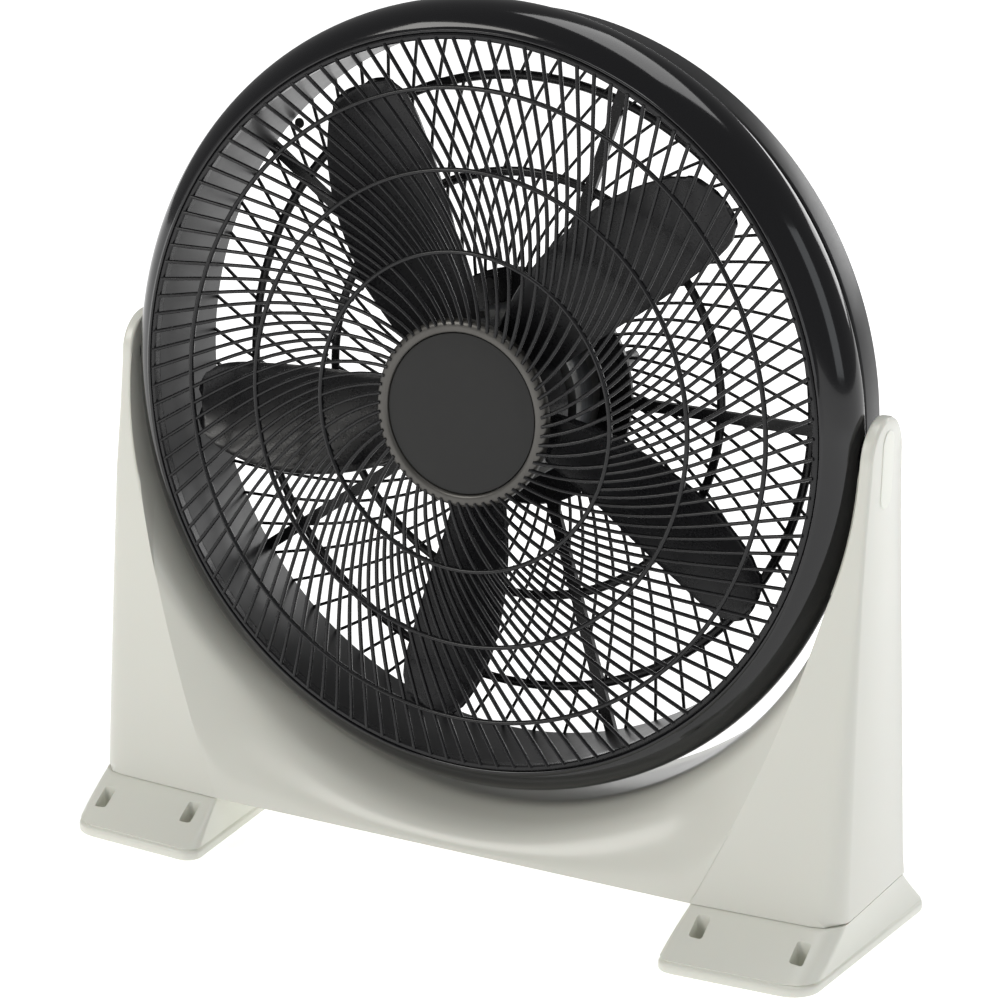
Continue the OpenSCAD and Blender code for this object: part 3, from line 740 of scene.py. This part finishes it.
for k in (1, 2, 3):
    ring_at = HUB_R - 0.5 + k * RING_PITCH
    hoop(f"front_grille_hoop_{k}", ring_at, front_height(ring_at) - 0.6, 1.7, 2.2)
rim_profile = [(RIM_R - 0.4, -35), (RIM_R - 0.4, -40.2), (RIM_R - 1.6, -41.4), (RIM_R - 3.6, -41.4)]
rim_profile += [(RIM_R - 4.6, -40.4), (RIM_R - 4.6, -35)]
grille_rim = lathe("front_grille_rim", rim_profile, grille_plastic, sharp=32.0)
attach(grille_rim, "head")

# ---- Hub disc and its trim ring ----
# A plain matt disc closes the middle of the grille, inside a ring in dark metallic paint.
disc_plastic = finish(
    "disc_black", (0.014, 0.014, 0.0135), (0.011, 0.011, 0.0105), 0.52, 1400.0, 0.00003,
    patch=14.0, spread=0.08, Specular_IOR_Level=0.35,
)
trim_paint = finish(
    "trim_grey", (0.10, 0.096, 0.088), (0.075, 0.071, 0.065), 0.36, 1800.0, 0.00001,
    patch=20.0, spread=0.1, Metallic=0.5, Coat_Weight=0.1, Coat_Roughness=0.15,
)
disc_profile = [(0.0001, -47.5), (56.9, -47.5), (56.9, -50.3), (56.4, -50.9), (55.2, -51.1)]
disc_profile += [(40.0, -51.5), (20.0, -51.8), (0.0001, -51.9)]
hub_disc = lathe("hub_plate", disc_profile, disc_plastic, sharp=40.0)
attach(hub_disc, "head")
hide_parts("hub_disc")
trim_profile = [(66.6, -46.5), (66.4, -49.4), (65.4, -51.4), (63.8, -52.5), (61.6, -53.0), (59.2, -52.9)]
trim_profile += [(57.9, -52.3), (57.3, -51.3), (57.2, -49.4), (57.2, -46.5)]
trim = lathe("hub_trim", trim_profile, trim_paint, sharp=40.0)
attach(trim, "head")
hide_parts("hub_trim_ring")

# ---- Rear grille ----
# Moulded with the drum's back: finer bars that swirl the other way, two flat hoops, five struts
# out to the drum, and a plate at the middle that the motor is bolted to.
REAR_Y = 42.0
REAR_HUB_R = 86.0
REAR_BARS = 64
REAR_RINGS = (153.7, 221.4)
STRUTS = 5

rear_bars = grow("rear_grille_bars", bar_tree, "head", {
    "Count": REAR_BARS,
    "Inner Radius": (REAR_HUB_R - 2) * MM,
    "Outer Radius": (DUCT_R + 1) * MM,
    "Sweep": math.radians(-30),
    "Curl": 0.4,
    "Height": -REAR_Y * MM,
    "Dome": 0.0,
    "Width": 2.4 * MM,
    "Depth": 3.2 * MM,
    "Points": 16,
}, sharp=80)
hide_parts("rear_grille")
for k, ring_at in enumerate(REAR_RINGS):
    hoop(f"rear_grille_hoop_{k + 1}", ring_at, REAR_Y + 0.4, 3.4, 2.2)
strut_tree, bench, wires = new_tree("rear_struts", [
    ("Count", "Int", STRUTS),
    ("Start", "Float", 0.0),
    ("Radius", "Float", (REAR_HUB_R + DUCT_R) / 2 * MM),
    ("Length", "Float", (DUCT_R - REAR_HUB_R + 3) * MM),
    ("Width", "Float", 8.0 * MM),
    ("Depth", "Float", 4.6 * MM),
    ("Height", "Float", -(REAR_Y + 0.4) * MM),
    ("Material", "Material", grille_plastic),
])
strut_size = bench.node(
    "ShaderNodeCombineXYZ", {"X": wires["Length"], "Y": wires["Width"], "Z": wires["Depth"]}
)
strut_lift = bench.node("ShaderNodeCombineXYZ", {"Z": wires["Height"]})
strut_box = bench.node("GeometryNodeMeshCube", {"Size": strut_size})
strut_box = bench.node("GeometryNodeTransform", {"Geometry": strut_box, "Translation": strut_lift})
struts_all = spread_round(bench, strut_box, wires["Count"], wires["Start"], wires["Radius"])
end_tree(bench, struts_all, wires["Material"])
grow("rear_grille_struts", strut_tree, "head", {})
plate_profile = [(19.0, 40.2), (REAR_HUB_R - 1, 40.2), (REAR_HUB_R, 41.2), (REAR_HUB_R, 44.2)]
plate_profile += [(REAR_HUB_R - 0.8, 45), (REAR_HUB_R - 7, 45), (REAR_HUB_R - 8, 44), (REAR_HUB_R - 8, 43)]
plate_profile += [(19.0, 43)]
rear_plate = lathe("rear_grille_plate", plate_profile, grille_plastic)
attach(rear_plate, "head")

# ---- Impeller ----
# Five broad black blades moulded in one piece with the cone that grips the shaft. Each blade is
# widest at its root, leans its leading edge forward and flattens towards the tip.
BLADES = 5
BLADE_START = 44.0
BLADE_MIDDLE = -15.0
BLADE_EDGES = (
    (46, 33, -14), (100, 26, -10), (136, 21, -9.5), (180, 15, -8.5), (214, 9.5, -7.5), (230, 6, -5.5),
    (236.4, 1.5, -1.5),
)
BLADE_ROOT = 46.0
BLADE_SHOULDER = 230.0
BLADE_TIP_REACH = 6.3
ROOT_PITCH = 29.0
PITCH_LOSS = 15.0 / 190.0
BLADE_CAMBER = 3.5

blade_plastic = finish(
    "fan_black", (0.013, 0.013, 0.015), (0.009, 0.009, 0.010), 0.28, 500.0, 0.00001,
    patch=7.0, spread=0.10, Coat_Weight=0.1, Coat_Roughness=0.12, Specular_IOR_Level=0.35,
)


def blade_edge(r, column):
    """An edge angle of the blade at a radius, on a smooth curve through the listed places."""
    rows = BLADE_EDGES
    k = max(i for i in range(len(rows) - 1) if rows[i][0] <= r + 1e-9)
    a, b = rows[k], rows[k + 1]
    before, after = rows[max(k - 1, 0)], rows[min(k + 2, len(rows) - 1)]
    span = b[0] - a[0]
    t = (r - a[0]) / span
    slope_a = (b[column] - before[column]) / (b[0] - before[0]) * span
    slope_b = (after[column] - a[column]) / (after[0] - a[0]) * span
    if k == len(rows) - 2:
        return a[column] + (b[column] - a[column]) * (1 - math.sqrt(max(1 - t * t, 0)))
    return (
        (2 * t ** 3 - 3 * t ** 2 + 1) * a[column] + (t ** 3 - 2 * t ** 2 + t) * slope_a
        + (-2 * t ** 3 + 3 * t ** 2) * b[column] + (t ** 3 - t ** 2) * slope_b
    )


def blade_skin(turn):
    """Points and faces of one blade's middle surface."""
    points, faces = [], []
    rows = [BLADE_ROOT + (BLADE_SHOULDER - BLADE_ROOT) * k / 26 for k in range(27)]
    rows += [BLADE_SHOULDER + BLADE_TIP_REACH * math.sin(math.pi / 2 * k / 6) for k in range(1, 7)]
    across = 16
    for r in rows:
        high, low = blade_edge(r, 1), blade_edge(r, 2)
        middle = math.radians((high + low) / 2)
        pitch = math.tan(math.radians(ROOT_PITCH - PITCH_LOSS * (r - BLADE_ROOT)))
        for j in range(across + 1):
            angle = math.radians(low + (high - low) * j / across)
            chord = r * math.sin(angle - middle)
            camber = BLADE_CAMBER * (1 - (2 * j / across - 1) ** 2)
            y = BLADE_MIDDLE - chord * pitch + camber
            if r < 66:
                y = min(y, -2.5)
            whole = angle + turn
            points.append((r * math.cos(whole), y, HEAD_Z + r * math.sin(whole)))
    for i in range(len(rows) - 1):
        for j in range(across):
            a = i * (across + 1) + j
            faces.append((a, a + 1, a + across + 2, a + across + 1))
    return points, faces


blade_points, blade_faces = [], []
for k in range(BLADES):
    turn = math.radians(BLADE_START + 360 / BLADES * k)
    points, faces = blade_skin(turn)
    blade_faces += [tuple(i + len(blade_points) for i in f) for f in faces]
    blade_points += points
blades = link_mesh("impeller_blades", blade_points, blade_faces, blade_plastic, sharp=60)
thicken = blades.modifiers.new("wall", "SOLIDIFY")
thicken.thickness = 2.4 * MM
thicken.offset = 0
soften = blades.modifiers.new("edge", "BEVEL")
soften.width = 0.7 * MM
soften.segments = 2
soften.limit_method = "ANGLE"
soften.angle_limit = math.radians(50)
settle(blades)
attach(blades, "rotor")
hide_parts("impeller")
cone_profile = [(48, -1.2), (57.6, -1.2), (58, -2.2), (53.2, -26.5), (51.5, -29), (49.0, -30), (12, -31)]
cone_profile += [(12, -28), (47, -27), (49.5, -24.5), (53.5, -3), (48, -3)]
cone = lathe("impeller_cone", cone_profile, blade_plastic, sharp=32.0)
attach(cone, "rotor")

# ---- Pivots ----
# A broad washer turns between each boss of the drum and its tongue, and a press-fit cap with
# round ends hides the end of the pin on the outside.
WASHER_R = 18.5
CAP_HALF_WIDTH = 9.6
CAP_TOP = 20.0
CAP_BOTTOM = 34.0

washer_plastic = finish(
    "black_plastic", (0.022, 0.022, 0.022), (0.015, 0.015, 0.015), 0.38, 900.0, 0.00002,
    patch=18.0, spread=0.08,
)
for side, word in ((-1, "left"), (1, "right")):
    profile = [(5.2, 281.3), (15.5, 281.3), (18.0, 281.9), (WASHER_R, 282.7), (18.0, 283.6), (5.2, 283.8)]
    profile = [(r, side * x) for r, x in profile]
    washer = lathe(word + "_washer", profile, washer_plastic, centre=(0.0, HEAD_Z), steps=64, axis="X")
    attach(washer, "head")
    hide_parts(word + "_pivot_washer")
    outline = []
    for k in range(33):
        turn = math.pi * k / 16
        middle = HEAD_Z + (CAP_TOP - CAP_HALF_WIDTH if k <= 16 else CAP_HALF_WIDTH - CAP_BOTTOM)
        outline.append((CAP_HALF_WIDTH * math.cos(turn), CAP_HALF_WIDTH * math.sin(turn), middle))
    rings = []
    for x, inset in ((292.2, 0.0), (293.1, 0.0), (293.4, 0.12), (293.55, 0.5), (293.6, 1.2)):
        shrink = 1 - inset / CAP_HALF_WIDTH
        rings.append([(side * x, y * shrink, m + z * shrink) for y, z, m in outline])
    cap = loft(word + "_cap", rings, foot_plastic, close_ends=True, sharp=50)
    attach(cap, "stand")
    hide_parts(word + "_pivot_cap")

# ---- Speed knob ----
# A fluted black knob on the back of the motor cover, with a grip bar. Its light pointer is not drawn.
KNOB_Z = 398.0
KNOB_R = 17.0
FLUTES = 20

knob_rings = []
for k in range(FLUTES * 8 + 1):
    turn = 2 * math.pi * (k % (FLUTES * 8)) / (FLUTES * 8)
    dent = 0.45 * (1 + math.cos(FLUTES * turn))
    profile = [(0.001, 78.5), (KNOB_R - 1 - dent, 78.5), (KNOB_R - dent, 79.5), (KNOB_R - 1.4 - dent, 90)]
    profile += [(KNOB_R - 2.2 - dent, 91.6), (KNOB_R - 4, 92), (0.001, 92)]
    knob_rings.append([(r * math.cos(turn), y, KNOB_Z + r * math.sin(turn)) for r, y in profile])
knob = loft("knob_body", knob_rings, washer_plastic, sharp=32)
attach(knob, "knob")
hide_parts("speed_knob")
grip_rings = [rounded_quad(((-2.6 + i, -13 + i), (2.6 - i, -13 + i), (2.6 - i, 13 - i), (-2.6 + i, 13 - i)),
                           (2, 2, 2, 2), 5, y) for y, i in ((91, 0), (93.8, 0), (94.6, 0.2), (95, 0.6))]
grip_rings = [[(x, y, KNOB_Z + z) for x, z, y in ring] for ring in grip_rings]
grip = loft("knob_grip", grip_rings, washer_plastic, close_ends=True, sharp=32)
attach(grip, "knob")

# ---- Screws ----
# Pan-head steel screws with a cross recess: six behind the glossy ring and six round the rear
# grille. Each row is (count, radius, angle of the first, place along the head's axis).
SCREW_R = 3.8
RING_SCREWS = (6, 269.0, 30.0, -9.5)
GRILLE_SCREWS = (6, 252.3, 18.0, 44.3)

black_steel = finish(
    "black_steel", (0.05, 0.05, 0.05), (0.03, 0.03, 0.03), 0.36, 1500.0, 0.00001,
    patch=60.0, spread=0.12, Metallic=0.9,
)
zinc_steel = finish(
    "zinc_steel", (0.62, 0.62, 0.60), (0.50, 0.50, 0.47), 0.30, 1500.0, 0.00001,
    patch=60.0, spread=0.12, Metallic=1.0,
)


def screw_pattern(material):
    """A screw head at the origin, its top towards +Z, with a cross cut into it."""
    profile = [(0.0001, 0), (SCREW_R, 0), (SCREW_R, 0.7), (SCREW_R - 0.5, 1.5), (SCREW_R - 1.6, 2.1)]
    profile += [(0.0001, 2.4)]
    rings = []
    for k in range(25):
        turn = 2 * math.pi * (k % 24) / 24
        rings.append([(r * math.cos(turn), r * math.sin(turn), z) for r, z in profile])
    head = loft("screw_pattern", rings, material, sharp=35)
    slots = [box_piece("slot_cutter", low, high, material) for low, high in (
        ((-2.1, -0.4, 1.1), (2.1, 0.4, 3)), ((-0.4, -2.1, 1.0), (0.4, 2.1, 3)))]
    return cut_away(head, slots)


screw_tree, bench, wires = new_tree("screw_row", [
    ("Places", "Geometry", None),
    ("Screw", "Object", None),
    ("Tilt", "Float", 0.0),
    ("Material", "Material", zinc_steel),
])
screw_shape = bench.node("GeometryNodeObjectInfo", {"Object": wires["Screw"]}, output="Geometry")
tilt = bench.node("ShaderNodeCombineXYZ", {"X": wires["Tilt"]})
screws = bench.node(
    "GeometryNodeInstanceOnPoints", {"Points": wires["Places"], "Instance": screw_shape, "Rotation": tilt}
)
screws = bench.node("GeometryNodeRealizeInstances", {"Geometry": screws})
screws = bench.node("GeometryNodeSetMaterial", {"Geometry": screws, "Material": wires["Material"]})
screw_exit = bench.tree.nodes.new("NodeGroupOutput")
bench.tree.links.new(screws.socket, screw_exit.inputs[0])


def screw_row(name, places, tilt, node, body, material):
    """Screw heads at places in millimetres, in place of a node's plain ones."""
    pattern = screw_pattern(material)
    seats = bpy.data.meshes.new(name + "_seats")
    seats.from_pydata([Vector(p) * MM for p in places], [], [])
    values = {"Screw": pattern, "Tilt": tilt, "Material": material}
    row = grow(name, screw_tree, body, values, source=seats)
    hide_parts(node)
    bpy.data.objects.remove(pattern)


def ring_places(count, radius, start, y):
    turns = [math.radians(start + 360 / count * k) for k in range(count)]
    return [(radius * math.cos(t), y, HEAD_Z + radius * math.sin(t)) for t in turns]


screw_row(
    "ring_screw_heads", ring_places(*RING_SCREWS), -math.pi / 2,
    "ring_screws", "head", black_steel,
)
screw_row(
    "grille_screw_heads", ring_places(*GRILLE_SCREWS), -math.pi / 2,
    "grille_screws", "head", black_steel,
)

# ---- Parts kept as they are ----
# The motor, the back covers, the pads and the small fixings keep their solid shapes and get the
# finish of what they are made of.
rubber = finish("pad_rubber", (0.05, 0.05, 0.05), (0.035, 0.035, 0.035), 0.7, 900.0, 0.00006, patch=60.0)
bright_steel = finish(
    "bright_steel", (0.62, 0.62, 0.61), (0.52, 0.52, 0.51), 0.22, 500.0, 0.000004,
    patch=30.0, spread=0.12, stretch=(1, 8, 1), Metallic=1.0,
)
bush_plastic = finish("bush_plastic", (0.70, 0.69, 0.62), (0.66, 0.65, 0.58), 0.4, 700.0, 0.00001)
cast_alloy = finish(
    "cast_alloy", (0.34, 0.34, 0.335), (0.27, 0.27, 0.265), 0.42, 260.0, 0.00008,
    patch=22.0, spread=0.16, Metallic=0.8,
)
lamination = finish(
    "lamination_steel", (0.30, 0.31, 0.33), (0.20, 0.21, 0.22), 0.38, 90.0, 0.00004,
    patch=20.0, spread=0.14, stretch=(1, 22, 1), Metallic=0.9,
)
copper = finish(
    "copper_wire", (0.60, 0.24, 0.09), (0.42, 0.15, 0.05), 0.28, 130.0, 0.0002,
    patch=30.0, spread=0.12, stretch=(1, 5, 1), Metallic=0.85,
)
bronze = finish("sintered_bronze", (0.50, 0.33, 0.15), (0.38, 0.25, 0.11), 0.5, 900.0, 0.00003, Metallic=0.9)
capacitor_case = finish("capacitor_plastic", (0.74, 0.74, 0.72), (0.68, 0.68, 0.66), 0.35, 500.0, 0.00001)

for paint, names in (
    (shell_plastic, ("stand_rear_cover",)),
    (rubber, ("foot_pads",)),
    (zinc_steel, ("foot_screws", "stand_screws", "motor_screws")),
    (washer_plastic, ("cord_gland", "blade_nut")),
    (bush_plastic, ("left_pivot_bush", "right_pivot_bush", "speed_switch")),
    (bright_steel, ("left_pivot_pin", "right_pivot_pin", "motor_shaft")),
    (cast_alloy, ("motor_front_bell", "motor_rear_bell")),
    (lamination, ("stator_core", "rotor_core")),
    (copper, ("stator_windings",)),
    (bronze, ("front_bearing", "rear_bearing")),
    (drum_plastic, ("motor_rear_cover",)),
    (black_steel, ("cover_screws",)),
    (capacitor_case, ("run_capacitor",)),
):
    for name in names:
        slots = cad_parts[name].data.materials
        slots.clear()
        slots.append(paint)
